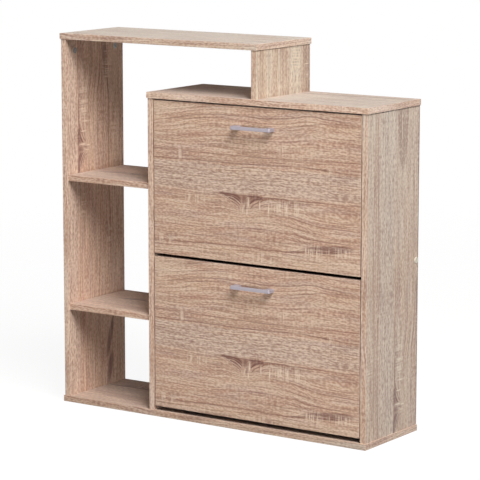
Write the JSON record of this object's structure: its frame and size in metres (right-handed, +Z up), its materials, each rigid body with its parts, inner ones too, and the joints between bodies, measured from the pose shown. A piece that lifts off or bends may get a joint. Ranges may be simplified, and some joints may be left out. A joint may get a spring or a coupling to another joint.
{
  "type": "shoe cabinet",
  "caption": "Board shoe cabinet with tip-out flaps, an open shelf column beside them and a raised top bridging both; light oak decor with bow handles.",
  "frame": {"origin": "centre of the bottom panel's underside, on the floor", "axes": "+Z up, +X to the right seen from the front, +Y to the back, so the flaps face -Y"},
  "size_m": [0.9, 0.2593, 0.938],
  "materials": {
    "oak_decor": "printed light oak decor, satin",
    "hardboard": "smooth brown hardboard",
    "black_plastic": "fine moulded grain",
    "zinc_steel": "zinc plated",
    "silver_handle": "satin silver",
    "beech_dowel": "fluted beech",
    "ivory_cap": "satin ivory"
  },
  "bodies": {
    "carcass": {"bottom_panel": "oak_decor", "left_side_panel": "oak_decor", "middle_panel": "oak_decor", "right_side_panel": "oak_decor", "cabinet_top": "oak_decor", "raised_top": "oak_decor", "short_upright": "oak_decor", "upper_shelf": "oak_decor", "lower_shelf": "oak_decor", "rear_rail": "oak_decor", "upper_back_panel": "hardboard", "lower_back_panel": "hardboard", "cam_locks": "zinc_steel", "cam_bolts": "zinc_steel", "board_screws": "zinc_steel", "dowels": "beech_dowel", "cover_caps": "ivory_cap", "back_nails": "zinc_steel", "pivot_pins": "zinc_steel", "guide_pins": "zinc_steel"},
    "lower_flap": {"lower_flap_front": "oak_decor", "lower_handle": "silver_handle", "lower_handle_screws": "zinc_steel", "lower_left_bracket": "black_plastic", "lower_right_bracket": "black_plastic", "lower_tray_screws": "zinc_steel", "lower_tray_floor": "hardboard", "lower_tray_divider": "hardboard", "lower_tray_rear_wall": "hardboard"},
    "upper_flap": {"upper_flap_front": "oak_decor", "upper_handle": "silver_handle", "upper_handle_screws": "zinc_steel", "upper_left_bracket": "black_plastic", "upper_right_bracket": "black_plastic", "upper_tray_screws": "zinc_steel", "upper_tray_floor": "hardboard", "upper_tray_divider": "hardboard", "upper_tray_rear_wall": "hardboard"}
  },
  "joints": [
    {"name": "lower_flap_tilt", "type": "hinge", "parent": "carcass", "child": "lower_flap", "pos_m": [0.1335, -0.0925, 0.086], "axis": [1, 0, 0], "range_deg": [0, 45]},
    {"name": "upper_flap_tilt", "type": "hinge", "parent": "carcass", "child": "upper_flap", "pos_m": [0.1335, -0.0925, 0.47125], "axis": [1, 0, 0], "range_deg": [0, 45]}
  ]
}
